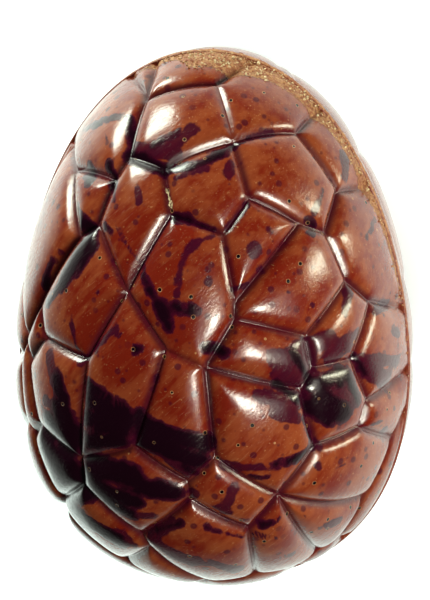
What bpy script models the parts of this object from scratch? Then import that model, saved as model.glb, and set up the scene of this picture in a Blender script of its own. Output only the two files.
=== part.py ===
"""Moulded chocolate egg, lying on its back half.

Two half shells from the same mould are fused along a lengthwise seam. Their outside is crackled into
flat-topped plates with grooves between them, as if the egg were cut like a gem and then softened.
The frame: +Y is the pointed end, +X the egg's right side and +Z up, out of the shown half. The seam
lies in the level plane through the egg's long axis.
"""

import math

import bmesh
import bpy
from mathutils import Matrix, Vector

MM = 0.001

# The egg's own form.
HALF_LENGTH = 59.0 * MM
GIRTH_RADIUS = 42.6 * MM
TAPER = 0.136
FULLNESS = 0.092

# The relief: a groove along every side of a plate, and a pillowed top.
GROOVE_WIDTH = 2.3 * MM
GROOVE_DEPTH = 0.95 * MM
GROOVE_FLARE = 1.5
PILLOW_WIDTH = 8.5 * MM
PILLOW_RISE = 0.6 * MM
SEAM_RISE = 0.35 * MM

# The flat spot that the egg rests on.
REST_DEPTH = 1.1 * MM

# The mesh: how finely the sides, the seam and the tops are divided, and the block that the gem is
# cut from, on the unit ball.
SIDE_STEP = 5.2 * MM
SHORT_SIDE = 1.7 * MM
SEAM_STATIONS = 80
RING_WIDTHS = (1.1 * MM, 2.3 * MM, 4.6 * MM)
RING_ROOM = 0.75
WELD = 0.001 * MM
BLOCK_SIZE = 4.0
CENTRE_STEPS = 60
CENTRE_STRIDE = 3.0 * MM

# The plates of one half shell, as cuts of a gem. Each is the point of the shell that the cut faces,
# in mm right and tipward of the egg's middle, and how far out the cut lies, in per cent.
PLATES = (
    # Round the tip.
    (2, 58, 96), (4, 53, 96), (13, 53, 94), (-17, 53, 102), (-25, 44, 98),
    # The shoulder.
    (-28, 38, 100), (-3, 35, 104), (10, 39, 98), (20, 42, 95), (22, 46, 97), (-34, 28, 98),
    # Tipward of the middle.
    (-35.7, 28, 100), (30, 31, 101), (20, 27, 97), (23, 22, 97), (8, 24, 100), (-42, 4, 104),
    # The middle.
    (-25, 4, 104), (23, 4, 100), (30, 7, 101), (35, -3, 104), (-29, -1, 106), (-26, -9, 103),
    (-13, -11, 102), (31, -9, 101),
    # Bluntward of the middle.
    (-42, -20, 105), (-35, -17, 108), (1, -19, 101), (21, -15, 99), (35, -14, 105), (30, -28, 101),
    # Round the blunt end.
    (-34, -38, 103), (-27, -32, 104), (-6, -35, 98), (11, -34, 99), (24, -39, 100), (19, -42, 99),
    (3, -44, 96), (-13, -47, 97), (-10, -49, 97), (-17, -52, 98), (3, -57, 102), (20, -53, 108),
    (33, -42, 110),
)

MILK_CHOCOLATE = (0.150, 0.052, 0.026, 1.0)
POLISH = 0.22


def clear_scene():
    for thing in list(bpy.data.objects):
        bpy.data.objects.remove(thing, do_unlink=True)


def girth(along):
    """The radius of the egg's round section, before it closes, at a share of its half length."""
    return GIRTH_RADIUS * (1.0 - TAPER * along + FULLNESS * along ** 2)


def egg_point(direction):
    """Carries a point of the unit ball onto the egg."""
    along = direction.y
    return Vector((direction.x * girth(along), along * HALF_LENGTH, direction.z * girth(along)))


def egg_normal(direction):
    """The outward normal of the egg at a point of the unit ball."""
    along = direction.y
    flare = GIRTH_RADIUS * (2.0 * FULLNESS * along - TAPER)
    lean = (girth(along) * along - flare * (1.0 - along ** 2)) / HALF_LENGTH
    return Vector((direction.x, lean, direction.z)).normalized()


def plate_cut(x, y, reach):
    """The direction and the distance of one plate's cut, on the unit ball."""
    along = y * MM / HALF_LENGTH
    right = x * MM / girth(along)
    up = math.sqrt(max(0.0, 1.0 - along ** 2 - right ** 2))
    return Vector((right, along, up)), reach / 100.0


def slice_off(bm, direction, reach):
    """Cuts the gem with one plane and closes it with a new flat side."""
    whole = bm.verts[:] + bm.edges[:] + bm.faces[:]
    cut = bmesh.ops.bisect_plane(bm, geom=whole, dist=WELD, plane_co=direction * reach,
                                 plane_no=direction, clear_outer=True)
    rim = [edge for edge in cut["geom_cut"] if isinstance(edge, bmesh.types.BMEdge)]
    bmesh.ops.edgeloop_fill(bm, edges=rim)


def split_side(edge, pieces):
    """Divides a side into equal pieces and returns the new corners in order from its first one."""
    corner = edge.verts[0]
    corners = []
    for left in range(pieces, 1, -1):
        corner = bmesh.utils.edge_split(edge, corner, 1.0 / left)[1]
        corners.append(corner)
    return corners


def cut_half_gem():
    """The upper half of the gem, open at the seam, on the unit ball."""
    bm = bmesh.new()
    bmesh.ops.create_cube(bm, size=BLOCK_SIZE)
    for plate in PLATES:
        slice_off(bm, *plate_cut(*plate))
    bmesh.ops.remove_doubles(bm, verts=bm.verts, dist=SHORT_SIDE / GIRTH_RADIUS)
    whole = bm.verts[:] + bm.edges[:] + bm.faces[:]
    bmesh.ops.bisect_plane(bm, geom=whole, dist=WELD, plane_co=(0.0, 0.0, 0.0),
                           plane_no=(0.0, 0.0, 1.0), clear_inner=True)
    return bm


def seam_angle(corner):
    return math.atan2(corner.co.y, corner.co.x)


def fit_seam(bm):
    """Moves the seam's corners to even stations, so that the two half shells meet corner to corner."""
    turn = 2.0 * math.pi / SEAM_STATIONS
    for edge in [edge for edge in bm.edges if edge.is_boundary]:
        first, last = (seam_angle(corner) for corner in edge.verts)
        sweep = (last - first + math.pi) % (2.0 * math.pi) - math.pi
        start = round(first / turn)
        pieces = abs(round((first + sweep) / turn) - start)
        step = math.copysign(1, sweep)
        for index, corner in enumerate(split_side(edge, max(1, pieces)), 1):
            station = (start + step * index) * turn
            corner.co = Vector((math.cos(station), math.sin(station), 0.0))
    for corner in bm.verts:
        if corner.is_boundary:
            station = round(seam_angle(corner) / turn) * turn
            corner.co = Vector((math.cos(station), math.sin(station), 0.0))
    bmesh.ops.remove_doubles(bm, verts=[v for v in bm.verts if v.is_boundary], dist=0.5 * turn)


def divide_grooves(bm):
    """Divides the sides between plates, so that the grooves follow the round of the egg."""
    for edge in [edge for edge in bm.edges if not edge.is_boundary]:
        ends = [egg_point(corner.co.normalized()) for corner in edge.verts]
        split_side(edge, max(1, round((ends[1] - ends[0]).length / SIDE_STEP)))
    for corner in bm.verts:
        corner.co.normalize()


def inward_planes(outline, centre):
    """One plane through the egg's middle for each side of a plate, facing its centre."""
    planes = []
    for index, corner in enumerate(outline):
        plane = outline[index - 1].cross(corner).normalized()
        planes.append(plane if plane.dot(centre) > 0.0 else -plane)
    return planes


def deepest_point(outline):
    """The point of a plate that lies furthest from all its sides, found by backing off from the
    nearest side in ever shorter steps."""
    point = sum(outline, Vector()) / len(outline)
    planes = inward_planes(outline, point)
    for turn in range(1, CENTRE_STEPS + 1):
        nearest = min(planes, key=lambda plane: plane.dot(point))
        point = point + nearest * (CENTRE_STRIDE / turn)
    return egg_point(ball_direction(point))


def ring_point(outer, centre, planes, width):
    """The point on the spoke from an outline point to the centre that lies a width inside."""
    spoke = centre - outer
    shares = [(width - plane.dot(outer)) / plane.dot(spoke) for plane in planes
              if plane.dot(spoke) > 0.0]
    return outer + max(shares) * spoke


def ball_direction(point):
    """Carries a point near the egg back to the unit ball."""
    along = max(-1.0, min(1.0, point.y / HALF_LENGTH))
    return Vector((point.x / girth(along), along, point.z / girth(along))).normalized()


def relief(width):
    """How far the surface lies under the plates' crowns, a width away from a groove."""
    groove = GROOVE_DEPTH * max(0.0, 1.0 - width / GROOVE_WIDTH) ** GROOVE_FLARE
    pillow = PILLOW_RISE * max(0.0, 1.0 - width / PILLOW_WIDTH) ** 2
    return groove + pillow


def dress_plate(bm, face, drops):
    """Insets a plate ring by ring toward its centre and notes how deep each new corner lies. In a
    narrow plate the rings stand closer, so that the last one still goes round the centre."""
    outline = [egg_point(corner.co) for corner in face.verts]
    centre = deepest_point(outline)
    planes = inward_planes(outline, centre)
    room = min(plane.dot(centre) for plane in planes)
    squeeze = min(1.0, RING_ROOM * room / RING_WIDTHS[-1])
    for width in RING_WIDTHS:
        bmesh.ops.inset_individual(bm, faces=[face], thickness=WELD)
        for corner, outer in zip(face.verts, outline):
            corner.co = ball_direction(ring_point(outer, centre, planes, width * squeeze))
            drops[corner] = relief(width * squeeze)
    crown = bmesh.ops.poke(bm, faces=[face])["verts"][0]
    crown.co = ball_direction(centre)
    drops[crown] = relief(room)


def raise_relief(bm):
    """Gives the half shell its grooves, plates and seam, on the egg."""
    drops = {corner: -SEAM_RISE if corner.is_boundary else relief(0.0) for corner in bm.verts}
    for face in bm.faces[:]:
        dress_plate(bm, face, drops)
    for corner, drop in drops.items():
        normal = egg_normal(corner.co)
        corner.co = egg_point(corner.co) - drop * normal


def close_egg(bm):
    """Adds the other half shell, from the same mould turned about the long axis, and fuses both."""
    twin = bmesh.ops.duplicate(bm, geom=bm.verts[:] + bm.edges[:] + bm.faces[:])["geom"]
    corners = [item for item in twin if isinstance(item, bmesh.types.BMVert)]
    bmesh.ops.rotate(bm, verts=corners, cent=(0.0, 0.0, 0.0), matrix=Matrix.Rotation(math.pi, 3, "Y"))
    bmesh.ops.remove_doubles(bm, verts=bm.verts, dist=WELD)
    bmesh.ops.recalc_face_normals(bm, faces=bm.faces)


def rest_egg(bm):
    """Cuts the flat spot under the egg and stands the egg on it."""
    floor = min(corner.co.z for corner in bm.verts) + REST_DEPTH
    whole = bm.verts[:] + bm.edges[:] + bm.faces[:]
    cut = bmesh.ops.bisect_plane(bm, geom=whole, dist=WELD, plane_co=(0.0, 0.0, floor),
                                 plane_no=(0.0, 0.0, -1.0), clear_outer=True)
    rim = [edge for edge in cut["geom_cut"] if isinstance(edge, bmesh.types.BMEdge)]
    bmesh.ops.edgeloop_fill(bm, edges=rim)
    bmesh.ops.translate(bm, verts=bm.verts, vec=(0.0, 0.0, -floor))


def chocolate():
    material = bpy.data.materials.new("milk_chocolate")
    material.use_nodes = True
    shader = material.node_tree.nodes["Principled BSDF"]
    shader.inputs["Base Color"].default_value = MILK_CHOCOLATE
    shader.inputs["Roughness"].default_value = POLISH
    shader.inputs["Metallic"].default_value = 0.0
    return material


def build_egg(collection):
    bm = cut_half_gem()
    fit_seam(bm)
    divide_grooves(bm)
    raise_relief(bm)
    close_egg(bm)
    rest_egg(bm)
    bmesh.ops.triangulate(bm, faces=bm.faces)
    mesh = bpy.data.meshes.new("egg")
    bm.to_mesh(mesh)
    bm.free()
    mesh.shade_smooth()
    mesh.materials.append(chocolate())
    egg = bpy.data.objects.new("egg", mesh)
    collection.objects.link(egg)
    return egg


def main():
    clear_scene()
    collection = bpy.data.collections.new("chocolate_egg")
    bpy.context.scene.collection.children.link(collection)
    build_egg(collection)


main()
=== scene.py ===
"""Moulded chocolate egg with crackled plates, marbling, a crumbly seam and a pale studio.

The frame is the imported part's: +Y is the pointed end, +X the egg's right side, +Z up out of the shown
half. The seam lies in the level plane through the egg's long axis.
"""

import math

import bmesh
import bpy
import numpy as np
from bpy.props import FloatProperty, FloatVectorProperty, IntProperty, PointerProperty
from mathutils import Matrix, Vector


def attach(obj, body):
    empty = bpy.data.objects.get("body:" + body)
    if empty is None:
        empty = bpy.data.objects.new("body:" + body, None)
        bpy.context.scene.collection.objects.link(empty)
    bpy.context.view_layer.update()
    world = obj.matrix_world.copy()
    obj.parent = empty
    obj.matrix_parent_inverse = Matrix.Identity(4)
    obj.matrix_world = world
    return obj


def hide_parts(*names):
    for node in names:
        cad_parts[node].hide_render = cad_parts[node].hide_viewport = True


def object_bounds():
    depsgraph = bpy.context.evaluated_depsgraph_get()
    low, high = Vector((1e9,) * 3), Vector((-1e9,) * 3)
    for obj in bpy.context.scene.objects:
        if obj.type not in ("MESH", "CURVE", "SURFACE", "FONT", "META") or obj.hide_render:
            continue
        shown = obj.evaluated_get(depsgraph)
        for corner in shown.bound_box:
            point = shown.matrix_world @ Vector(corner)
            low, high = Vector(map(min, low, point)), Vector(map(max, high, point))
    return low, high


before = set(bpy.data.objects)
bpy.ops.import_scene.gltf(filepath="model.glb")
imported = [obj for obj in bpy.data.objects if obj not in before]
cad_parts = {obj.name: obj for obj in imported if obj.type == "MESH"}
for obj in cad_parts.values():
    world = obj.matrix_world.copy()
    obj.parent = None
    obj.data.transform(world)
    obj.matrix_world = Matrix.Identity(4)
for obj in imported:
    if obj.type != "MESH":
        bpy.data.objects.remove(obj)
CAD_LOW, CAD_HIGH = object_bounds()

bl_info = {
    "name": "Chocolate Egg",
    "version": (1, 0, 0),
    "blender": (4, 5, 0),
    "location": "3D View > Sidebar > Egg",
    "description": "Builds the dressed chocolate egg and its studio",
    "category": "Add Mesh",
}

MM = 0.001

# The egg's own form, as in the part.
HALF_LENGTH = 59.0 * MM
GIRTH_RADIUS = 42.6 * MM
TAPER = 0.136
FULLNESS = 0.092
REST_DEPTH = 1.1 * MM
SEAM_HEIGHT = (CAD_HIGH.z - REST_DEPTH) / 2.0

# How the gem is cut from its block, on the unit ball.
BLOCK_SIZE = 4.0
SHORT_SIDE = 1.7 * MM
WELD = 0.001 * MM
SEAM_STATIONS = 80

# The plates of one half shell, as cuts of a gem. Each is the point of the shell that the cut faces,
# in mm right and tipward of the egg's middle, and how far out the cut lies, in per cent.
PLATES = (
    # Round the tip.
    (2, 58, 96), (4, 53, 96), (13, 53, 94), (-17, 53, 102), (-25, 44, 98),
    # The shoulder.
    (-28, 38, 100), (-3, 35, 104), (10, 39, 98), (20, 42, 95), (22, 46, 97), (-34, 28, 98),
    # Tipward of the middle.
    (-35.7, 28, 100), (30, 31, 101), (20, 27, 97), (23, 22, 97), (8, 24, 100), (-42, 4, 104),
    # The middle.
    (-25, 4, 104), (23, 4, 100), (30, 7, 101), (35, -3, 104), (-29, -1, 106), (-26, -9, 103),
    (-13, -11, 102), (31, -9, 101),
    # Bluntward of the middle.
    (-42, -20, 105), (-35, -17, 108), (1, -19, 101), (21, -15, 99), (35, -14, 105), (30, -28, 101),
    # Round the blunt end.
    (-34, -38, 103), (-27, -32, 104), (-6, -35, 98), (11, -34, 99), (24, -39, 100), (19, -42, 99),
    (3, -44, 96), (-13, -47, 97), (-10, -49, 97), (-17, -52, 98), (3, -57, 102), (20, -53, 108),
    (33, -42, 110),
)

# Smears of dark chocolate on the shown half. Each is a stroke between two points of the shell, in mm
# right and tipward of its middle, and the stroke's half width in mm.
SMEARS = (
    (-27.3, 41.7, -22.6, 44.9, 0.8), (-22.6, 44.9, -17.6, 47.6, 1), (-14.5, 48.4, -12.9, 43.5, 0.8),
    (-13.3, 42.1, -4.6, 40.4, 1.9), (-7.7, 44.3, -1.9, 47.1, 1.1), (-17.9, 39.1, -16, 35.3, 1.2),
    (-23.7, 37.4, -22.2, 35.3, 1.8), (-4.1, 40.4, 1.9, 41.1, 1.4), (-19, 43.7, -18.6, 42.4, 0.3),
    (-25.3, 29.7, -20.7, 26.5, 1.1), (-23.1, 26.9, -20.2, 25.8, 1.4), (-21, 23.2, -25.8, 14.9, 2.5),
    (-19.6, 22.7, -22, 17.4, 1.5), (-26.1, 14.3, -30.1, 8.9, 1.3), (-30.4, 17.3, -32.8, 11.6, 1.1),
    (-16.7, 27.8, -15.2, 27, 1.1), (-7, 19.4, -5, 16.4, 0.8), (-5, 16.4, -2, 12.5, 1.3),
    (-1, 31.5, 2.4, 31.4, 1.1), (2.4, 30.9, 7.9, 29.3, 0.5), (1, 13.5, 5.1, 13, 1.1),
    (1.9, 41.1, 7.9, 43.7, 1.1), (6.3, 44.1, 9.2, 45.1, 0.9), (9.2, 45.1, 12.9, 46.5, 1),
    (16.2, 53.8, 18.2, 52.3, 1.2), (28.2, 37.4, 29.7, 35.8, 0.6), (26.3, 29.6, 27.9, 28.2, 0.8),
    (26.3, 27.3, 27.5, 26.6, 0.8), (12.7, 17, 15.7, 18, 0.5), (-19.3, -5.4, -10, -8.6, 1.4),
    (-18.1, -9.1, -10, -10.9, 2.6), (-26.8, -12.3, -23, -19.3, 2.2), (-28.9, -15.8, -25, -19.8, 2.2),
    (-18.4, -13.1, -10.9, -12.9, 2.7), (-18.8, -18.3, -11.5, -17, 2.2), (-20.9, -14.2, -21.1, -21.2, 0.8),
    (-5.4, -12.3, 8.3, -16.1, 2.2), (-5.1, -15.4, 6, -20.2, 2.7), (2.8, -21.4, 4.8, -23.1, 1.6),
    (-30.2, -25.2, -24.4, -29.3, 3.2), (-6.8, -10.2, -6.6, -17, 1.8), (-29.6, -16.6, -23.7, -21.3, 1.8),
    (-24.7, -9.5, -22.7, -19.2, 1.1), (-31.5, -22.9, -24.9, -28.3, 2.7), (-26, -25.8, -22.5, -30.7, 1.5),
    (-27.4, -35.7, -18.8, -32.2, 1.6), (-25.5, -36.9, -14.7, -41.9, 2.5), (-20, -27.5, -7.9, -30.8, 2.2),
    (-18.7, -30.9, -9.4, -34.2, 1.9), (-7.6, -27.1, 0.8, -28.4, 1.9), (-31.4, -22, -27.4, -31.7, 3.2),
    (-26.5, -22.6, -23, -28.9, 2.7), (-26.8, -5.6, -23.5, -16, 1.8), (-18.5, -24.4, -8.6, -24.8, 3),
    (-17.9, -28.9, -13.8, -31.1, 1.6), (-5.8, -26.6, 0.3, -27.5, 1.8), (-10.8, -22.2, -10.2, -22.4, 0.9),
    (-7.3, 3.8, -7, 3.8, 1.4), (-4.8, -39.1, 1.2, -35.8, 1), (-14.1, -44.6, -10.6, -42.5, 0.5),
    (6.6, -36.3, 8.8, -37.6, 0.8), (-23.6, -45.2, -17.5, -47.5, 0.5), (-2.9, -1.5, -3.6, -4.6, 0.5),
    (-3.2, 13.5, -0.2, 8.9, 1.3), (0.7, 13.2, 5.1, 12.8, 1.2), (7.6, 4.8, 9.9, 4.8, 1.2),
    (-3, -26.6, 0.8, -28.1, 1.6), (9.7, 5, 11.5, 4.1, 1.2), (30.4, -8.4, 34.3, -11.6, 3),
    (29, -4.8, 32.2, -3.8, 1.8), (33.9, -2.9, 33.8, -5.3, 1.6), (35.1, -4.1, 36.8, -10.2, 1.6),
    (28.8, -9.7, 32.2, -13.3, 1.8), (25.1, 3.4, 29, -4.2, 1.6), (22.4, -3.3, 26.3, -7.6, 1.4),
    (21.8, -21.3, 26.1, -20.4, 1.1), (26.1, -20.4, 29.4, -19, 1.3), (27.5, -11.7, 29.1, -17.2, 0.8),
    (17, -24.2, 20.2, -24.1, 0.7), (18.5, -36.6, 21.8, -35.1, 1.1), (9.3, -37.6, 13.9, -39.6, 0.5),
    (36.7, -0.6, 38.4, -5.3, 0.9),
)

# Stains, where the dark chocolate is thin, in the same way.
STAINS = (
    (-12.9, 43.1, -2.9, 43.6, 1.9), (-2.9, 45, 0.8, 47.6, 1.5), (-1.6, 38.8, 4.7, 40.9, 1),
    (-14.1, 29, -7, 20.4, 0.5), (7.7, 28.1, 3.7, 26.1, 0.6), (3.7, 26.1, 1.9, 22.6, 0.7),
    (1.8, 22.6, 1.1, 15.8, 0.8), (7.4, 19.2, 7.7, 18.6, 1.1), (-27, 41.5, -26.9, 40.8, 0.5),
    (-10, 37, -8.9, 33.7, 0.5), (-28.5, 20.1, -28.1, 20, 0.6), (-17.4, 14.7, -17.2, 14.5, 0.6),
    (-21.9, 11.8, -21.8, 11.7, 0.5), (-15.8, 35.1, -14.9, 32.8, 0.4), (12.9, 46.5, 17.5, 46.9, 0.7),
    (9.7, 41.8, 10, 39.5, 0.8), (29.7, 39.2, 31.1, 35.5, 1.4), (30.5, 38.6, 31.3, 37.2, 1),
    (27.9, 34.7, 27.2, 30.8, 0.7), (19, 28.6, 19.2, 28.4, 0.8), (16.4, 24.8, 16.7, 24.5, 1.7),
    (18, 21.1, 18.2, 21, 1.3), (23.4, 15.7, 23.5, 15.6, 0.6), (28.2, 12.4, 28.4, 12.2, 0.6),
    (34.8, 13.4, 34.2, 9.4, 1.1), (39.6, 7.8, 41, 7.5, 1), (36.3, 25.1, 36.1, 22.9, 0.8),
    (14.3, 33.8, 10.7, 29.3, 0.5), (16.8, 41, 17, 40.9, 0.5), (-29.6, -2.1, -26.7, -7.2, 1.5),
    (-29.5, -12, -23.5, -13.1, 1.5), (-19.8, -29.3, -11.6, -33.2, 1.8), (-8.7, -26, 0.2, -28.2, 2.4),
    (-5.5, -40.2, -0.5, -36.3, 1.4), (-13.8, -40.3, -10.7, -43.1, 1.2), (-15.3, -34, -4.7, -34.2, 1.2),
    (4.6, -27.9, 4.8, -28.2, 1.2), (-5.6, -40.9, 2.3, -46.5, 1.4), (-11.5, 6.7, -11.4, 6.6, 0.6),
    (-23.1, 7.2, -21.6, -1.5, 0.5), (-21.3, -1.5, -12.1, 8, 0.5), (0.6, -20.4, 3.8, -23.2, 1.8),
    (-1.6, -43.9, 5.7, -45.7, 1.3), (21.6, 2.5, 28.4, 2.7, 1.8), (22.4, -1.6, 27.2, -3.9, 1.5),
    (25.9, 3.3, 29, -0.7, 1.8), (23.8, 0.1, 27.6, -2.3, 2.2), (27.7, 4.5, 31.9, 4.7, 1.7),
    (32.3, 0.8, 34.9, 3.5, 1.8), (32.7, -0.1, 36.5, 4.5, 1.2), (37.5, -1.2, 42.3, -4.9, 1.2),
    (38.7, -4.7, 41.2, -8.1, 1.9), (42.1, -5.1, 42.7, -4.1, 0.6), (31.3, -5.8, 34.8, -8.7, 3.7),
    (31.3, -8.8, 33.1, -11.8, 2.5), (18.8, -5.3, 25.8, -8.7, 1.7), (21.8, -9.3, 26.3, -11.5, 1.5),
    (11.8, -21.6, 21.3, -21.6, 1.1), (13.3, -26.4, 10.8, -32.8, 1.1), (9.6, -31.5, 12.1, -32.8, 0.8),
    (34.8, -22.7, 33.1, -24.8, 0.8), (29.7, -23.2, 29.8, -23.5, 0.6), (39.2, -17.3, 40.4, -16.8, 0.5),
    (40.9, -19.8, 41, -20.3, 1), (28.7, -39.3, 31.8, -38.8, 1), (26.4, -35.2, 26.5, -35.6, 0.6),
    (16.7, -39.1, 22, -40.5, 0.5), (7.8, -46.8, 11.1, -49, 1.5), (20.6, -45.7, 22.4, -45.7, 0.6),
    (41.5, 1.7, 42, 0.8, 1.2), (39, 7.3, 40.5, 7.6, 0.8), (29.9, -17.3, 30.7, -19.3, 0.8),
)

# Chips, where the milk chocolate has flaked, in the same way.
CHIPS = (
    (-3.8, 37.3, -3, 35.7, 0.2), (-3, 35.4, -2.2, 33.9, 0.2), (-2.2, 33.8, -1.1, 33.3, 0.2),
    (5.9, 31.3, 8, 30.6, 0.1), (-0.7, 55.5, 0.7, 55.4, 0.2), (-2, 56.4, 0.6, 56.7, 0.1),
)

# Grooves that are shallower than the rest: the middle of each, in mm, and its share of the full depth.
FAINT_GROOVES = (
    (8, 50, 0.55), (-14, 13, 0.45), (-20, 20, 0.6), (-14, 6, 0.9), (4, 3, 0.5), (27, -29, 0.5), (-33, 20, 0.6),
)
SEAM_SHARE = 0.15


# ----------------------------------------------------------------------------- settings


class EggForm(bpy.types.PropertyGroup):
    groove_width: FloatProperty(name="Groove width", description="How quickly a groove eases out onto the plate",
                                default=1.35 * MM, subtype="DISTANCE")
    groove_depth: FloatProperty(name="Groove depth", description="How deep the grooves between plates are",
                                default=1.5 * MM, subtype="DISTANCE")
    floor_round: FloatProperty(name="Floor round", description="How softly the two walls of a groove meet",
                               default=0.22 * MM, subtype="DISTANCE")
    pillow_width: FloatProperty(name="Pillow width", description="How far in from its side a plate swells",
                                default=10.5 * MM, subtype="DISTANCE")
    pillow_rise: FloatProperty(name="Pillow rise", description="How far a plate swells",
                               default=0.85 * MM, subtype="DISTANCE")
    unevenness: FloatProperty(name="Unevenness", description="How far the plates wander from the egg's form",
                              default=0.10 * MM, subtype="DISTANCE")
    unevenness_size: FloatProperty(name="Unevenness size", description="The size of one swell of the plates",
                                   default=12.0 * MM, subtype="DISTANCE")
    tear_height: FloatProperty(name="Tear height", description="The height of the lumps beside the seam",
                               default=0.30 * MM, subtype="DISTANCE")
    tear_size: FloatProperty(name="Tear size", description="The size of the lumps beside the seam",
                             default=2.2 * MM, subtype="DISTANCE")
    side_step: FloatProperty(name="Side step", description="How finely the shown half is divided along the grooves",
                             default=0.8 * MM, subtype="DISTANCE")
    back_step: FloatProperty(name="Back step", description="How finely the other half is divided along the grooves",
                             default=1.3 * MM, subtype="DISTANCE")
    bead_width: FloatProperty(name="Seam half width", description="The half width of the bead on the seam",
                              default=0.8 * MM, subtype="DISTANCE")
    bead_rise: FloatProperty(name="Seam rise", description="How far the bead stands off the egg",
                             default=0.12 * MM, subtype="DISTANCE")
    bead_rough: FloatProperty(name="Seam roughness", description="The height of the lumps on the bead",
                              default=0.35 * MM, subtype="DISTANCE")
    crumb_density: FloatProperty(name="Crumb density", description="Crumbs in a square metre where thickest",
                                 default=3000000.0)
    crumb_smallest: FloatProperty(name="Smallest crumb", description="The radius of the smallest crumb",
                                  default=0.08 * MM, subtype="DISTANCE")
    crumb_largest: FloatProperty(name="Largest crumb", description="The radius of the largest crumb",
                                 default=0.38 * MM, subtype="DISTANCE")
    seed: IntProperty(name="Seed", description="The pattern of the swells and the crumbs", default=7)


def colour_setting(name, description, value):
    return FloatVectorProperty(name=name, description=description, subtype="COLOR", size=3, default=value,
                               min=0.0, max=1.0)


class EggLook(bpy.types.PropertyGroup):
    milk: colour_setting("Milk chocolate", "The colour of the milk chocolate", (0.288, 0.0565, 0.0165))
    milk_deep: colour_setting("Deep milk chocolate", "The milk chocolate where it is darkest", (0.183, 0.0122, 0.0040))
    stain: colour_setting("Stain", "Dark chocolate where it is thin", (0.044, 0.0008, 0.0125))
    dark: colour_setting("Dark chocolate", "Dark chocolate where it is thick", (0.0100, 0.0004, 0.0042))
    torn: colour_setting("Torn chocolate", "The dry chocolate beside the seam", (0.30, 0.078, 0.026))
    crumb: colour_setting("Crumb", "The colour of the crumbs on the seam", (0.52, 0.245, 0.095))
    cream: colour_setting("Cream crumb", "The colour of the palest crumbs", (0.80, 0.62, 0.34))
    polish: FloatProperty(name="Roughness", description="The roughness of the moulded surface",
                          subtype="FACTOR", default=0.15, min=0.0, max=1.0)
    gloss: FloatProperty(name="Gloss", description="How strong the sharp shine over the soft one is",
                         subtype="FACTOR", default=0.45, min=0.0, max=1.0)
    fleck_spacing: FloatProperty(name="Fleck spacing", description="The size of the cells that hold one dark fleck",
                                 default=3.7 * MM, subtype="DISTANCE")
    speck_spacing: FloatProperty(name="Speck spacing", description="The size of the cells that hold one small speck",
                                 default=3.0 * MM, subtype="DISTANCE")
    pit_spacing: FloatProperty(name="Pit spacing", description="The size of the cells that hold one bubble pit",
                               default=4.7 * MM, subtype="DISTANCE")
    # The pit's pale rim that this radius reaches is a painted highlight.
    pit_radius: FloatProperty(name="Pit radius", description="The radius of a bubble pit's pale rim",
                              default=0.55 * MM, subtype="DISTANCE")


class StudioSet(bpy.types.PropertyGroup):
    distance: FloatProperty(name="Camera distance", description="From the camera to the egg's middle",
                            default=2.0, subtype="DISTANCE")
    elevation: FloatProperty(name="Camera lean", description="How far the camera leans from overhead to the tip",
                             default=math.radians(16.0), subtype="ANGLE")
    swing: FloatProperty(name="Camera swing", description="How far the camera swings to the egg's right",
                         default=math.radians(13.0), subtype="ANGLE")
    frame_height: FloatProperty(name="Frame height", description="How much of the scene the frame takes in",
                                default=129.0 * MM, subtype="DISTANCE")
    air: FloatProperty(name="Air light", description="The strength of the soft light from all round", default=0.015)
    floor_glow: FloatProperty(name="Floor glow", description="The light that the pale floor gives off", default=2.4)


# ----------------------------------------------------------------------------- the egg's form


def girth(along):
    """The radius of the egg's round section, before it closes, at a share of its half length."""
    return GIRTH_RADIUS * (1.0 - TAPER * along + FULLNESS * along ** 2)


def on_egg(ball):
    """Carries points of the unit ball onto the egg, about the egg's own middle."""
    reach = girth(ball[:, 1])
    return np.column_stack((ball[:, 0] * reach, ball[:, 1] * HALF_LENGTH, ball[:, 2] * reach))


def flare(along):
    """How fast the girth changes along the egg."""
    return GIRTH_RADIUS * (2.0 * FULLNESS * along - TAPER)


def egg_normals(ball):
    """The outward normals of the egg at points of the unit ball."""
    along = ball[:, 1]
    lean = (girth(along) * along - flare(along) * (1.0 - along ** 2)) / HALF_LENGTH
    normals = np.column_stack((ball[:, 0], lean, ball[:, 2]))
    return normals / np.linalg.norm(normals, axis=1, keepdims=True)


def shell_direction(x, y):
    """The unit ball's point for a place on the shown half, in mm right and tipward of the middle."""
    along = y * MM / HALF_LENGTH
    right = x * MM / girth(along)
    return np.array((right, along, math.sqrt(max(0.0, 1.0 - along ** 2 - right ** 2))))


def gaps_to_sides(ball, sides):
    """The distance on the egg from points of the ball to planes through its middle."""
    along = ball[:, 1]
    out = np.maximum(np.hypot(ball[:, 0], ball[:, 2]), 0.000001)
    nothing = np.zeros(len(ball))
    round_way = np.column_stack((ball[:, 2], nothing, -ball[:, 0])) / out[:, None]
    tip_way = np.column_stack((-ball[:, 0] * along / out, out, -ball[:, 2] * along / out))
    stretch = np.hypot(out ** 2 * flare(along) - along * girth(along), HALF_LENGTH * out)
    across = (round_way @ sides.T) / girth(along)[:, None]
    lengthwise = (tip_way @ sides.T) / stretch[:, None]
    return (ball @ sides.T) / np.maximum(np.hypot(across, lengthwise), 0.000001)


SIDE_BLEND = 6.0
NO_GAP = 0.0005 * MM


def inset(ball, sides, shares=None):
    """How far inside a plate points lie: the distance to its nearest side, rounded in its corners.
    With a share of the groove depth for each side, also the share that holds at each point."""
    pulls = np.maximum(gaps_to_sides(ball, sides), NO_GAP) ** -SIDE_BLEND
    total = np.sum(pulls, axis=1)
    widths = total ** (-1.0 / SIDE_BLEND)
    return widths if shares is None else (widths, pulls @ shares / total)


def unit(vectors):
    return vectors / np.linalg.norm(vectors, axis=-1, keepdims=True)


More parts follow.
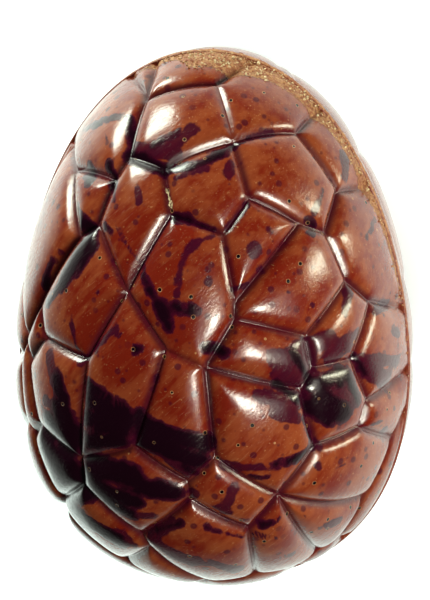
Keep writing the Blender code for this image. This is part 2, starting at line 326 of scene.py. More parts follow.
def cut_half_gem():
    """The corners of every plate of the upper half shell, on the unit ball, in order round the plate."""
    bm = bmesh.new()
    bmesh.ops.create_cube(bm, size=BLOCK_SIZE)
    for x, y, reach in PLATES:
        direction = Vector(shell_direction(x, y))
        whole = bm.verts[:] + bm.edges[:] + bm.faces[:]
        cut = bmesh.ops.bisect_plane(bm, geom=whole, dist=WELD, plane_co=direction * (reach / 100.0),
                                     plane_no=direction, clear_outer=True)
        rim = [edge for edge in cut["geom_cut"] if isinstance(edge, bmesh.types.BMEdge)]
        bmesh.ops.edgeloop_fill(bm, edges=rim)
    bmesh.ops.remove_doubles(bm, verts=bm.verts, dist=SHORT_SIDE / GIRTH_RADIUS)
    whole = bm.verts[:] + bm.edges[:] + bm.faces[:]
    bmesh.ops.bisect_plane(bm, geom=whole, dist=WELD, plane_co=(0.0, 0.0, 0.0),
                           plane_no=(0.0, 0.0, 1.0), clear_inner=True)
    turn = 2.0 * math.pi / SEAM_STATIONS
    for corner in bm.verts:
        if corner.is_boundary:
            station = round(math.atan2(corner.co.y, corner.co.x) / turn) * turn
            corner.co = Vector((math.cos(station), math.sin(station), 0.0))
    bmesh.ops.remove_doubles(bm, verts=[v for v in bm.verts if v.is_boundary], dist=0.5 * turn)
    bmesh.ops.recalc_face_normals(bm, faces=bm.faces)
    plates = []
    for face in bm.faces:
        corners = unit(np.array([corner.co for corner in face.verts]))
        middle = corners.mean(axis=0)
        if np.dot(np.cross(corners[0], corners[1]), middle) < 0.0:
            corners = corners[::-1]
        plates.append(corners)
    bm.free()
    return plates


def on_seam(corner):
    return abs(corner[2]) < 0.00001


def divide_side(first, last, step, seam_parts):
    """The points from one corner of a plate to the next, without the last one, on the unit ball."""
    if on_seam(first) and on_seam(last):
        turn = 2.0 * math.pi / SEAM_STATIONS
        start = math.atan2(first[1], first[0])
        sweep = (math.atan2(last[1], last[0]) - start + math.pi) % (2.0 * math.pi) - math.pi
        pieces = max(1, abs(round(sweep / turn))) * seam_parts
        angles = start + sweep * np.arange(pieces) / pieces
        return np.column_stack((np.cos(angles), np.sin(angles), np.zeros(pieces)))
    ends = on_egg(np.array((first, last)))
    pieces = max(1, round(float(np.linalg.norm(ends[1] - ends[0])) / step))
    shares = (np.arange(pieces) / pieces)[:, None]
    return unit(first + (last - first) * shares)


def deepest_point(corners, sides):
    """The point of a plate that lies furthest from its sides, found in ever shorter steps."""
    point = unit(corners.mean(axis=0))
    depth = inset(point[None], sides)[0]
    stride = 4.0 * MM / GIRTH_RADIUS
    while stride > 0.02 * MM / GIRTH_RADIUS:
        across = unit(np.cross(point, (0.3, 0.2, 0.9)))
        along = np.cross(point, across)
        turns = np.linspace(0.0, 2.0 * math.pi, 12, endpoint=False)
        tries = unit(point + stride * (np.outer(np.cos(turns), across) + np.outer(np.sin(turns), along)))
        depths = inset(tries, sides)
        if depths.max() > depth:
            point, depth = tries[depths.argmax()], depths.max()
        else:
            stride *= 0.5
    return point, depth


def groove_share(first, last):
    """How deep the groove along one side of a plate is, as a share of the full depth."""
    if on_seam(first) and on_seam(last):
        return SEAM_SHARE
    x, y, _ = on_egg(unit(first + last)[None])[0] / MM
    for faint_x, faint_y, share in FAINT_GROOVES:
        if math.hypot(x - faint_x, y - faint_y) < FAINT_REACH:
            return share
    return 1.0 + 0.15 * math.sin(0.9 * x + 0.6 * y)


FAINT_REACH = 4.5


# Where the rings of a plate lie: widths in from its side, then shares of the way to its middle.
RING_WIDTHS = (0.12, 0.25, 0.4, 0.55, 0.75, 1.0, 1.3, 1.65, 2.05, 2.5, 3.1, 3.8, 4.6)
RING_SHARES = (0.25, 0.5, 0.75)
RING_ROOM = 0.85


def plate_rings(corners, step, seam_parts, thin):
    """Rings of points on the unit ball from a plate's outline to its middle, as one array for each
    ring, and the middle."""
    following = np.roll(corners, -1, axis=0)
    sides = unit(np.cross(corners, following))
    outline = np.vstack([divide_side(a, b, step, seam_parts) for a, b in zip(corners, following)])
    middle, room = deepest_point(corners, sides)
    widths = np.array(RING_WIDTHS[thin - 1::thin]) * MM
    widths = widths * min(1.0, RING_ROOM * room / widths[-1])
    rings = [outline]
    reach = np.zeros(len(outline))
    for width in widths:
        near, far = np.zeros(len(outline)), np.ones(len(outline))
        for _ in range(22):
            half = 0.5 * (near + far)
            inside = inset(unit(outline + (middle - outline) * half[:, None]), sides) > width
            far = np.where(inside, half, far)
            near = np.where(inside, near, half)
        reach = 0.5 * (near + far)
        rings.append(unit(outline + (middle - outline) * reach[:, None]))
    for share in RING_SHARES:
        onward = reach + (1.0 - reach) * share
        rings.append(unit(outline + (middle - outline) * onward[:, None]))
    shares = np.array([groove_share(a, b) for a, b in zip(corners, following)])
    points = np.vstack(rings + [middle[None]])
    return (points, *inset(points, sides, shares), len(outline), len(rings))


def half_shell(step, seam_parts, thin):
    """One half shell on the unit ball: points, their insets, their depth shares and the faces."""
    plates = [plate_rings(corners, step, seam_parts, thin) for corners in cut_half_gem()]
    faces = []
    count = 0
    for points, _, _, size, rings in plates:
        for ring in range(rings - 1):
            start = count + ring * size
            for index in range(size):
                after = (index + 1) % size
                faces.append((start + index, start + after, start + size + after, start + size + index))
        start = count + (rings - 1) * size
        top = start + size
        faces.extend((start + index, start + (index + 1) % size, top) for index in range(size))
        count += len(points)
    return (*[np.concatenate([plate[part] for plate in plates]) for part in range(3)], faces)


# ----------------------------------------------------------------------------- node helpers


class Wire:
    """A node socket in an expression: arithmetic on it adds Math nodes."""

    def __init__(self, tree, socket):
        self.tree = tree
        self.socket = socket

    def node(self, kind, settings=None, inputs=None, output=0):
        return add_node(self.tree, kind, settings, inputs, output)

    def math(self, operation, *values):
        return self.node("ShaderNodeMath", {"operation": operation}, dict(enumerate((self,) + values)))

    def __add__(self, other):
        return self.math("ADD", other)

    def __radd__(self, other):
        return self.math("ADD", other)

    def __sub__(self, other):
        return self.math("SUBTRACT", other)

    def __rsub__(self, other):
        return self.node("ShaderNodeMath", {"operation": "SUBTRACT"}, {0: other, 1: self})

    def __mul__(self, other):
        return self.math("MULTIPLY", other)

    def __rmul__(self, other):
        return self.math("MULTIPLY", other)

    def __truediv__(self, other):
        return self.math("DIVIDE", other)

    def __rtruediv__(self, other):
        return self.node("ShaderNodeMath", {"operation": "DIVIDE"}, {0: other, 1: self})

    def __pow__(self, other):
        return self.math("POWER", other)

    def least(self, other):
        return self.math("MINIMUM", other)

    def most(self, other):
        return self.math("MAXIMUM", other)

    def clamp(self):
        return self.node("ShaderNodeClamp", None, {"Value": self})

    def rise(self, low, high):
        """0 below low, 1 above high and a smooth step between."""
        return self.node("ShaderNodeMapRange", {"interpolation_type": "SMOOTHSTEP"},
                         {"Value": self, "From Min": low, "From Max": high})


def add_node(tree, kind, settings=None, inputs=None, output=0):
    """Adds a node with its settings and socket values or links, and returns one output."""
    node = tree.nodes.new(kind)
    for name, value in (settings or {}).items():
        if name == "stops":
            ramp = node.color_ramp
            while len(ramp.elements) < len(value):
                ramp.elements.new(0.5)
            for element, (place, colour) in zip(ramp.elements, value):
                element.position = place
                element.color = colour
        else:
            setattr(node, name, value)
    for name, value in (inputs or {}).items():
        socket = node.inputs[name]
        if isinstance(value, Wire):
            tree.links.new(value.socket, socket)
        else:
            socket.default_value = value
    return Wire(tree, node.outputs[output])


def new_tree(name, sizes):
    """A Geometry Nodes tree with a geometry and named inputs. Returns the tree and its input wires."""
    tree = bpy.data.node_groups.new(name, "GeometryNodeTree")
    tree.interface.new_socket("Geometry", in_out="INPUT", socket_type="NodeSocketGeometry")
    for label, (kind, value) in sizes.items():
        socket = tree.interface.new_socket(label, in_out="INPUT", socket_type=kind)
        if value is not None:
            socket.default_value = value
    tree.interface.new_socket("Geometry", in_out="OUTPUT", socket_type="NodeSocketGeometry")
    group = tree.nodes.new("NodeGroupInput")
    wires = {socket.name: Wire(tree, socket) for socket in group.outputs if socket.name}
    return tree, wires


def named(tree, name, kind="FLOAT"):
    """A number or vector that is stored on the mesh."""
    return add_node(tree, "GeometryNodeInputNamedAttribute", {"data_type": kind}, {"Name": name})


def close_tree(tree, geometry, material):
    """Ends a tree in Realize Instances and Set Material."""
    real = add_node(tree, "GeometryNodeRealizeInstances", None, {"Geometry": geometry})
    dressed = add_node(tree, "GeometryNodeSetMaterial", None, {"Geometry": real, "Material": material})
    end = tree.nodes.new("NodeGroupOutput")
    tree.links.new(dressed.socket, end.inputs[0])


def run_tree(piece, tree, values):
    """Runs a Geometry Nodes tree on a piece and leaves the result as its plain mesh."""
    modifier = piece.modifiers.new("form", "NODES")
    modifier.node_group = tree
    for item in tree.interface.items_tree:
        if item.item_type == "SOCKET" and item.in_out == "INPUT" and item.name in values:
            modifier[item.identifier] = values[item.name]
    bpy.context.view_layer.update()
    depsgraph = bpy.context.evaluated_depsgraph_get()
    mesh = bpy.data.meshes.new_from_object(piece.evaluated_get(depsgraph), depsgraph=depsgraph)
    piece.modifiers.clear()
    rough = piece.data
    piece.data = mesh
    mesh.name = piece.name
    bpy.data.meshes.remove(rough)
    if not mesh.polygons:
        raise RuntimeError(piece.name + " came out empty")


def new_piece(name, points, faces):
    mesh = bpy.data.meshes.new(name)
    mesh.from_pydata(points.tolist(), [], faces)
    piece = bpy.data.objects.new(name, mesh)
    bpy.context.scene.collection.objects.link(piece)
    return piece


def note(mesh, name, values):
    """Stores one number or one vector for each point of a mesh."""
    values = np.asarray(values, np.float32)
    kind, field = ("FLOAT", "value") if values.ndim == 1 else ("FLOAT_VECTOR", "vector")
    attribute = mesh.attributes.new(name, kind, "POINT")
    attribute.data.foreach_set(field, values.ravel())


def seam_roughness(angles):
    """How crumbly the seam is round the egg, from 0 on its left to 1 at the tip. Angle 0 is the egg's
    right side and a quarter turn is the tip."""
    steps = np.array((-180.0, -90.0, -20.0, 5.0, 30.0, 60.0, 80.0, 95.0, 108.0, 130.0, 180.0))
    marks = np.array((0.0, 0.0, 0.05, 0.35, 0.75, 0.85, 1.0, 1.0, 0.5, 0.0, 0.0))
    return np.interp((np.degrees(angles) + 180.0) % 360.0 - 180.0, steps, marks)


# Where the grooves fade beside the seam: the share left at the seam, and the heights from it, in
# metres, where they begin to deepen and are at full depth.
SHOWN_FADE = (0.45, 1.5 * MM, 8.0 * MM)
HIDDEN_FADE = (0.10, 4.0 * MM, 17.0 * MM)


def fade(points, least, low, high):
    share = np.clip((np.abs(points[:, 2]) - low) / (high - low), 0.0, 1.0)
    return least + (1.0 - least) * share * share * (3.0 - 2.0 * share)


def seam_tear(points):
    """How torn the shell is at points about its middle, from the band beside the seam."""
    angles = np.arctan2(points[:, 1] / HALF_LENGTH, points[:, 0] / GIRTH_RADIUS)
    rough = seam_roughness(angles)
    middle, reach = tear_band(rough)
    return rough * np.clip(1.6 - 1.6 * np.abs(points[:, 2] - middle) / reach, 0.0, 1.0)


def tear_band(rough):
    """The height above the seam and the half width of the torn band."""
    return (1.6 + 2.4 * rough ** 4) * MM, (2.0 + 4.0 * rough ** 6) * MM


# ----------------------------------------------------------------------------- the shell


def relief_tree():
    """Lowers the shell's points into grooves and swells its plates."""
    tree, given = new_tree("egg_relief", {
        "Groove Width": ("NodeSocketFloat", 2.2 * MM),
        "Groove Depth": ("NodeSocketFloat", 1.0 * MM),
        "Floor Round": ("NodeSocketFloat", 0.3 * MM),
        "Pillow Width": ("NodeSocketFloat", 8.5 * MM),
        "Pillow Rise": ("NodeSocketFloat", 0.6 * MM),
        "Unevenness": ("NodeSocketFloat", 0.1 * MM),
        "Unevenness Size": ("NodeSocketFloat", 12.0 * MM),
        "Tear Height": ("NodeSocketFloat", 0.3 * MM),
        "Tear Size": ("NodeSocketFloat", 2.0 * MM),
        "Seed": ("NodeSocketInt", 0),
        "Material": ("NodeSocketMaterial", None),
    })
    width = named(tree, "inset")
    depth = named(tree, "depth")
    outward = named(tree, "outward", "FLOAT_VECTOR")
    place = add_node(tree, "GeometryNodeInputPosition")
    floor = given["Floor Round"]
    # A crease that is round at its floor and eases out onto the plate.
    eased = (width * width + floor * floor).math("SQRT") - floor
    groove = (eased / given["Groove Width"] * -1.0).math("EXPONENT") * given["Groove Depth"] * depth
    slope = (1.0 - width / given["Pillow Width"]).most(0.0)
    pillow = slope * slope * given["Pillow Rise"] * (depth.least(1.0) * 0.8 + 0.2)
    swell = add_node(tree, "ShaderNodeTexNoise", {"noise_dimensions": "4D"},
                     {"Vector": place, "W": given["Seed"] * 3.7, "Scale": 1.0 / given["Unevenness Size"],
                      "Detail": 1.0, "Roughness": 0.4})
    uneven = (swell - 0.5) * given["Unevenness"] * 2.0
    lumps = add_node(tree, "ShaderNodeTexNoise", None,
                     {"Vector": place, "Scale": 1.0 / given["Tear Size"], "Detail": 2.0, "Roughness": 0.6})
    torn = (lumps - 0.5) * given["Tear Height"] * 2.0 * named(tree, "torn")
    rise = uneven + torn - groove - pillow
    offset = add_node(tree, "ShaderNodeVectorMath", {"operation": "SCALE"}, {0: outward, "Scale": rise})
    moved = add_node(tree, "GeometryNodeSetPosition", None, {"Geometry": given["Geometry"], "Offset": offset})
    # Nothing reaches below the flat spot.
    now = add_node(tree, "GeometryNodeInputPosition")
    parts = tree.nodes.new("ShaderNodeSeparateXYZ")
    tree.links.new(now.socket, parts.inputs[0])
    level = Wire(tree, parts.outputs[2]).most(0.0)
    flat = add_node(tree, "ShaderNodeCombineXYZ", None,
                    {0: Wire(tree, parts.outputs[0]), 1: Wire(tree, parts.outputs[1]), 2: level})
    stood = add_node(tree, "GeometryNodeSetPosition", None, {"Geometry": moved, "Position": flat})
    close_tree(tree, stood, given["Material"])
    return tree


STROKE_BLEND = 0.6 * MM
FAR_GAP = 6.0 * MM


def stroke_gaps(points, strokes):
    """The distance from points about the egg's middle to the edge of the nearest stroke, inside below 0.
    Strokes that meet run together."""
    pulls = np.full(len(points), math.exp(-FAR_GAP / STROKE_BLEND))
    for x1, y1, x2, y2, width in strokes:
        ends = on_egg(np.array((shell_direction(x1, y1), shell_direction(x2, y2))))
        stroke = ends[1] - ends[0]
        share = np.clip(((points - ends[0]) @ stroke) / max(float(stroke @ stroke), NO_GAP ** 2), 0.0, 1.0)
        chord = ends[0] + share[:, None] * stroke
        middle = np.column_stack((np.zeros(len(chord)), chord[:, 1], np.zeros(len(chord))))
        along = chord[:, 1] / HALF_LENGTH
        radius = girth(along) * np.sqrt(np.maximum(0.0, 1.0 - along ** 2))
        nearest = middle + unit(chord - middle + NO_GAP) * radius[:, None]
        gaps = np.linalg.norm(points - nearest, axis=1) - width * MM
        pulls += np.exp(-np.clip(gaps, -FAR_GAP, FAR_GAP) / STROKE_BLEND)
    return -STROKE_BLEND * np.log(pulls)


def turned_over(ball):
    """Points of the other half shell, which is the same mould turned about the long axis."""
    return ball * np.array((-1.0, 1.0, -1.0))


def build_shell(form, material):
    shown = half_shell(form.side_step, 4, 1)
    hidden = half_shell(form.back_step, 4, 2)
    ball = np.vstack((shown[0], turned_over(hidden[0])))
    shift = len(shown[0])
    faces = shown[3] + [tuple(corner + shift for corner in face) for face in hidden[3]]
    points = on_egg(ball)
    shell = new_piece("egg_shell", points + np.array((0.0, 0.0, SEAM_HEIGHT)), faces)
    note(shell.data, "inset", np.concatenate((shown[1], hidden[1])))
    fades = np.concatenate((fade(points[:shift], *SHOWN_FADE), fade(points[shift:], *HIDDEN_FADE)))
    note(shell.data, "depth", np.concatenate((shown[2], hidden[2])) * fades)
    note(shell.data, "torn", seam_tear(points))
    note(shell.data, "outward", egg_normals(ball))
    upright = np.where(points[:, 2:] < 0.0, turned_over(points), points)
    note(shell.data, "smear", stroke_gaps(upright, SMEARS))
    note(shell.data, "stain", stroke_gaps(upright, STAINS))
    note(shell.data, "chip", stroke_gaps(upright, CHIPS))
    bm = bmesh.new()
    bm.from_mesh(shell.data)
    bmesh.ops.remove_doubles(bm, verts=bm.verts, dist=0.01 * MM)
    bmesh.ops.recalc_face_normals(bm, faces=bm.faces)
    bm.to_mesh(shell.data)
    bm.free()
    run_tree(shell, relief_tree(), {
        "Groove Width": form.groove_width, "Groove Depth": form.groove_depth,
        "Floor Round": form.floor_round,
        "Pillow Width": form.pillow_width, "Pillow Rise": form.pillow_rise,
        "Unevenness": form.unevenness, "Unevenness Size": form.unevenness_size,
        "Tear Height": form.tear_height, "Tear Size": form.tear_size,
        "Seed": form.seed, "Material": material,
    })
    shell.data.shade_smooth()
    return shell


# ----------------------------------------------------------------------------- the seam


BEAD_STATIONS = 900
BEAD_SIDES = 12


def build_bead(form, material):
    """The bead of chocolate along the seam: a closed tube, flat under the surface and rough on top."""
    angles = np.linspace(0.0, 2.0 * math.pi, BEAD_STATIONS, endpoint=False)
    rough = seam_roughness(angles)
    ball = np.column_stack((np.cos(angles), np.sin(angles), np.zeros(BEAD_STATIONS)))
    centres, normals = on_egg(ball), egg_normals(ball)
    half_width = form.bead_width * (0.5 + 0.5 * rough)
    height = form.bead_rise * (0.6 + 0.4 * rough)
    turns = np.linspace(0.0, 2.0 * math.pi, BEAD_SIDES, endpoint=False)
    sink = form.groove_depth * SEAM_SHARE
    points, tops, roughs = [], [], []
    for turn in turns:
        top = max(0.0, math.sin(turn))
        lift = np.where(math.sin(turn) > 0.0, (height + sink) * math.sin(turn), 1.0 * MM * math.sin(turn)) - sink
        points.append(centres + normals * lift[:, None]
                      + np.column_stack((0.0 * angles, 0.0 * angles, half_width * math.cos(turn))))
        tops.append(np.full(BEAD_STATIONS, top))
        roughs.append(rough)
    faces = []
    for side in range(BEAD_SIDES):
        for station in range(BEAD_STATIONS):
            after = (station + 1) % BEAD_STATIONS
            beside = (side + 1) % BEAD_SIDES
            faces.append((side * BEAD_STATIONS + station, side * BEAD_STATIONS + after,
                          beside * BEAD_STATIONS + after, beside * BEAD_STATIONS + station))
    bead = new_piece("seam_bead", np.vstack(points) + np.array((0.0, 0.0, SEAM_HEIGHT)), faces)
    note(bead.data, "top", np.concatenate(tops))
    note(bead.data, "rough", np.concatenate(roughs))
    note(bead.data, "outward", np.tile(normals, (BEAD_SIDES, 1)))
    bm = bmesh.new()
    bm.from_mesh(bead.data)
    bmesh.ops.recalc_face_normals(bm, faces=bm.faces)
    bm.to_mesh(bead.data)
    bm.free()
    tree, given = new_tree("seam_relief", {
        "Roughness": ("NodeSocketFloat", 0.5 * MM),
        "Grain": ("NodeSocketFloat", 1.0 * MM),
        "Seed": ("NodeSocketInt", 0),
        "Material": ("NodeSocketMaterial", None),
    })
    top = named(tree, "top")
    rough = named(tree, "rough")
    outward = named(tree, "outward", "FLOAT_VECTOR")
    place = add_node(tree, "GeometryNodeInputPosition")
    lumps = add_node(tree, "ShaderNodeTexNoise", {"noise_dimensions": "4D"},
                     {"Vector": place, "W": given["Seed"] * 1.9, "Scale": 1.0 / given["Grain"],
                      "Detail": 3.0, "Roughness": 0.6})
    lift = (lumps - 0.5) * given["Roughness"] * 2.0 * rough * top
    offset = add_node(tree, "ShaderNodeVectorMath", {"operation": "SCALE"}, {0: outward, "Scale": lift})
    moved = add_node(tree, "GeometryNodeSetPosition", None, {"Geometry": given["Geometry"], "Offset": offset})
    close_tree(tree, moved, given["Material"])
    run_tree(bead, tree, {"Roughness": form.bead_rough, "Grain": 1.1 * MM, "Seed": form.seed,
                          "Material": material})
    bead.data.shade_smooth()
    return bead


def build_crumbs(form, material):
    """Crumbs scattered over the rough part of the seam, thickest at the tip."""
    count = 260
    angles = np.radians(np.linspace(-25.0, 112.0, count))
    rough = seam_roughness(angles)
    middle, reach = tear_band(rough)
    points, weights = [], []
    levels = np.linspace(-1.0, 1.0, 9)
    for level in levels:
        lift = (middle + level * reach) / GIRTH_RADIUS
        ball = unit(np.column_stack((np.cos(angles), np.sin(angles), lift)))
        points.append(on_egg(ball) - egg_normals(ball) * (0.12 * MM))
        weights.append(rough ** 1.5 * (1.0 - 0.85 * abs(level)))
    faces = []
    for row in range(len(levels) - 1):
        for station in range(count - 1):
            start = row * count + station
            faces.append((start, start + count, start + count + 1, start + 1))
    ground = new_piece("seam_crumbs", np.vstack(points) + np.array((0.0, 0.0, SEAM_HEIGHT)), faces)
    note(ground.data, "weight", np.concatenate(weights))
    tree, given = new_tree("crumb_scatter", {
        "Density": ("NodeSocketFloat", 1.0),
        "Smallest": ("NodeSocketFloat", 0.1 * MM),
        "Largest": ("NodeSocketFloat", 0.4 * MM),
        "Seed": ("NodeSocketInt", 0),
        "Material": ("NodeSocketMaterial", None),
    })
    weight = named(tree, "weight")
    scatter = tree.nodes.new("GeometryNodeDistributePointsOnFaces")
    tree.links.new(given["Geometry"].socket, scatter.inputs["Mesh"])
    tree.links.new((weight * given["Density"]).socket, scatter.inputs["Density"])
    tree.links.new(given["Seed"].socket, scatter.inputs["Seed"])
    ball = add_node(tree, "GeometryNodeMeshIcoSphere", None, {"Radius": 1.0, "Subdivisions": 1})
    size = add_node(tree, "FunctionNodeRandomValue", {"data_type": "FLOAT"},
                    {2: 0.0, 3: 1.0, "Seed": given["Seed"]}, 1)
    scale = given["Smallest"] + (given["Largest"] - given["Smallest"]) * size * size
    squash = add_node(tree, "FunctionNodeRandomValue", {"data_type": "FLOAT_VECTOR"},
                      {0: (0.6, 0.6, 0.4), 1: (1.3, 1.3, 0.8), "Seed": given["Seed"] + 5})
    shape = add_node(tree, "ShaderNodeVectorMath", {"operation": "SCALE"}, {0: squash, "Scale": scale})
    spin = add_node(tree, "FunctionNodeRandomValue", {"data_type": "FLOAT_VECTOR"},
                    {0: (0.0, 0.0, 0.0), 1: (6.3, 6.3, 6.3), "Seed": given["Seed"] + 9})
    placed = add_node(tree, "GeometryNodeInstanceOnPoints", None,
                      {"Points": Wire(tree, scatter.outputs["Points"]), "Instance": ball,
                       "Rotation": spin, "Scale": shape})
    tint = add_node(tree, "FunctionNodeRandomValue", {"data_type": "FLOAT"},
                    {2: 0.0, 3: 1.0, "Seed": given["Seed"] + 13}, 1)
    tinted = add_node(tree, "GeometryNodeStoreNamedAttribute", {"data_type": "FLOAT", "domain": "INSTANCE"},
                      {"Geometry": placed, "Name": "tint", "Value": tint})
    close_tree(tree, tinted, given["Material"])
    run_tree(ground, tree, {"Density": form.crumb_density, "Smallest": form.crumb_smallest,
                            "Largest": form.crumb_largest, "Seed": form.seed, "Material": material})
    ground.data.shade_smooth()
    return ground


# ----------------------------------------------------------------------------- materials


def new_material(name):
    material = bpy.data.materials.new(name)
    material.use_nodes = True
    tree = material.node_tree
    return material, tree, tree.nodes["Principled BSDF"]


def mix_colours(tree, share, first, second):
    return add_node(tree, "ShaderNodeMix", {"data_type": "RGBA"}, {0: share, 6: first, 7: second}, 2)


def noise(tree, place, size, detail=2.0, roughness=0.5, stretch=None):
    """A noise of about a size in metres, from 0 to 1."""
    if stretch:
        place = add_node(tree, "ShaderNodeMapping", None, {"Vector": place, **stretch})
    return add_node(tree, "ShaderNodeTexNoise", None,
                    {"Vector": place, "Scale": 1.0 / size, "Detail": detail, "Roughness": roughness})


def stored(tree, name):
    """A number that is stored on the mesh, for a material."""
    return add_node(tree, "ShaderNodeAttribute", {"attribute_name": name}, None, 2)


def full(colour, share=1.0):
    return (*[share * value for value in colour], 1.0)


def swipes(tree, place, size, length, turn):
    """A streaky noise that runs across the egg at an angle."""
    turned = add_node(tree, "ShaderNodeMapping", {"vector_type": "TEXTURE"},
                      {"Vector": place, "Rotation": (0.0, 0.0, turn), "Scale": (length, 1.0, 1.0)})
    return noise(tree, turned, size, 3.0, 0.6)


# The milk chocolate is deepest round a place on each half, which fades out over a distance.
DEEP_PLACE = (2.0 * MM, 9.0 * MM, 0.0)
DEEP_REACH = 34.0 * MM


def chocolate(look):
    """Glossy milk chocolate with smears and stains of dark chocolate, fine swipes and bubble pits, with painted shade
    in the grooves and pit holes and painted highlights on the swipes and pit rims.
    """
    material, tree, shader = new_material("marbled_chocolate")
    place = add_node(tree, "ShaderNodeTexCoord", None, None, 3)
    streaks = swipes(tree, place, 0.45 * MM, 11.0, math.radians(42.0))
    broad = swipes(tree, place, 2.2 * MM, 4.0, math.radians(48.0))

    # The milk chocolate: cloudy, with pale swipes and dust, and darker in the grooves, where painted shade joins the
    # deeper colour of chocolate pooled thick there.
    cloud = noise(tree, place, 10.0 * MM, 4.0, 0.55)
    tone = (cloud.rise(0.30, 0.70) * 0.55 + broad.rise(0.30, 0.70) * 0.45).rise(0.05, 0.85)
    level = place.node("ShaderNodeVectorMath", {"operation": "MULTIPLY"}, {0: place, 1: (1.0, 1.0, 0.0)})
    aside = place.node("ShaderNodeVectorMath", {"operation": "DISTANCE"}, {0: level, 1: DEEP_PLACE}, 1)
    tone = (tone - aside.rise(DEEP_REACH, 0.2 * DEEP_REACH) * 0.40).clamp()
    milk = mix_colours(tree, tone, full(look.milk_deep), full(look.milk))
    # Partly real streaks and partly painted highlight: the swipes are lightened as if their fine scratches caught the
    # light.
    milk = mix_colours(tree, streaks.rise(0.52, 0.72) * broad.rise(0.35, 0.65) * 0.22, milk, full(look.crumb, 0.7))
    dust = noise(tree, place, 0.55 * MM, 2.0, 0.5).rise(0.66, 0.74)
    milk = mix_colours(tree, dust * 0.45, milk, full(look.crumb))
    # Painted shade: the colour darkens toward the floor of each groove, in part also for chocolate pooled thick there.
    groove_shade_and_pool = stored(tree, "inset").rise(1.5 * MM, 0.2 * MM) * stored(tree, "depth").clamp()
    milk = mix_colours(tree, groove_shade_and_pool * 0.80, milk, full(look.stain))

    # Dark chocolate: ragged smears, thin at the edge, and stains and flecks that the milk shows through.
    swirl = (noise(tree, place, 6.0 * MM, 2.0, 0.5) - 0.5) * (2.4 * MM)
    ragged = (noise(tree, place, 1.8 * MM, 4.0, 0.62) - 0.5) * (1.5 * MM)
    smear = stored(tree, "smear") + swirl + ragged
    thin = smear.rise(0.25 * MM, -0.20 * MM)
    thick = smear.rise(0.00 * MM, -1.10 * MM)
    stain = (stored(tree, "stain") + swirl + ragged).rise(0.30 * MM, -0.25 * MM)
    spots = add_node(tree, "ShaderNodeTexVoronoi", {"feature": "F1"},
                     {"Vector": place, "Scale": 1.0 / look.fleck_spacing})
    patch = noise(tree, place, 20.0 * MM, 2.0).rise(0.24, 0.44)
    fleck = (spots * look.fleck_spacing + ragged * 0.25).rise(0.95 * MM, 0.55 * MM) * patch
    moved = add_node(tree, "ShaderNodeVectorMath", {"operation": "ADD"}, {0: place, 1: (0.3, 0.7, 0.2)})
    specks = add_node(tree, "ShaderNodeTexVoronoi", {"feature": "F1"},
                      {"Vector": moved, "Scale": 1.0 / look.speck_spacing})
    speck = (specks * look.speck_spacing + ragged * 0.15).rise(0.52 * MM, 0.22 * MM)
    thin = thin.most(speck * 0.5).most(stain * (broad.rise(0.25, 0.60) * 0.15 + 0.85)).most(fleck * 0.75)
    colour = mix_colours(tree, thin * 0.94, milk, full(look.stain))
    colour = mix_colours(tree, thick, colour, full(look.dark))

    # Bubble pits: a dent in the bump whose hole is darkened with painted shade, in a thin pale rim that is a painted
    # highlight.
    cells = add_node(tree, "ShaderNodeTexVoronoi", {"feature": "F1"},
                     {"Vector": place, "Scale": 1.0 / look.pit_spacing})
    reach = cells * (look.pit_spacing / look.pit_radius)
    rim = reach.rise(1.0, 0.85) * (1.0 - thick * 0.6)
    pit_dent_and_shade = reach.rise(0.80, 0.66)
    colour = mix_colours(tree, rim * 0.85, colour, full(look.crumb))
    colour = mix_colours(tree, pit_dent_and_shade, colour, full(look.dark, 0.5))

    # Beside the seam the chocolate is torn, dry and pale.
    lumps = noise(tree, place, 0.9 * MM, 4.0, 0.68)
    torn = (stored(tree, "torn") * 1.5 + lumps - 1.0).rise(0.0, 0.30)
    pale = mix_colours(tree, lumps.rise(0.38, 0.62), full(look.torn), full(look.crumb))
    colour = mix_colours(tree, torn, colour, pale)

    # Cream flakes where the shell has chipped along a groove.
    chip = (stored(tree, "chip") + (lumps - 0.5) * (2.6 * MM)).rise(-0.24 * MM, -0.36 * MM)
    colour = mix_colours(tree, chip, colour, full(look.cream))
    tree.links.new(colour.socket, shader.inputs["Base Color"])

    grain = noise(tree, place, 0.35 * MM, 2.0, 0.5)
    rough = look.polish + streaks.rise(0.45, 0.75) * 0.12 + grain * 0.05 + torn * 0.40
    tree.links.new(rough.socket, shader.inputs["Roughness"])
    gloss = (1.0 - torn) * (1.0 - streaks.rise(0.48, 0.62) * 0.55) * look.gloss
    tree.links.new(gloss.socket, shader.inputs["Coat Weight"])
    shader.inputs["Coat Roughness"].default_value = 0.14
    shader.inputs["Specular Tint"].default_value = (1.0, 0.90, 0.76, 1.0)

    waves = noise(tree, place, 4.5 * MM, 2.0, 0.5)
    height = (waves * 0.06 + streaks * 0.065 + broad * 0.03 + grain * 0.004 + thick * 0.03 - pit_dent_and_shade * 0.5
              + torn * lumps * 0.5)
    bump = add_node(tree, "ShaderNodeBump", None, {"Height": height, "Strength": 1.0, "Distance": 1.0 * MM})
    tree.links.new(bump.socket, shader.inputs["Normal"])
    return material


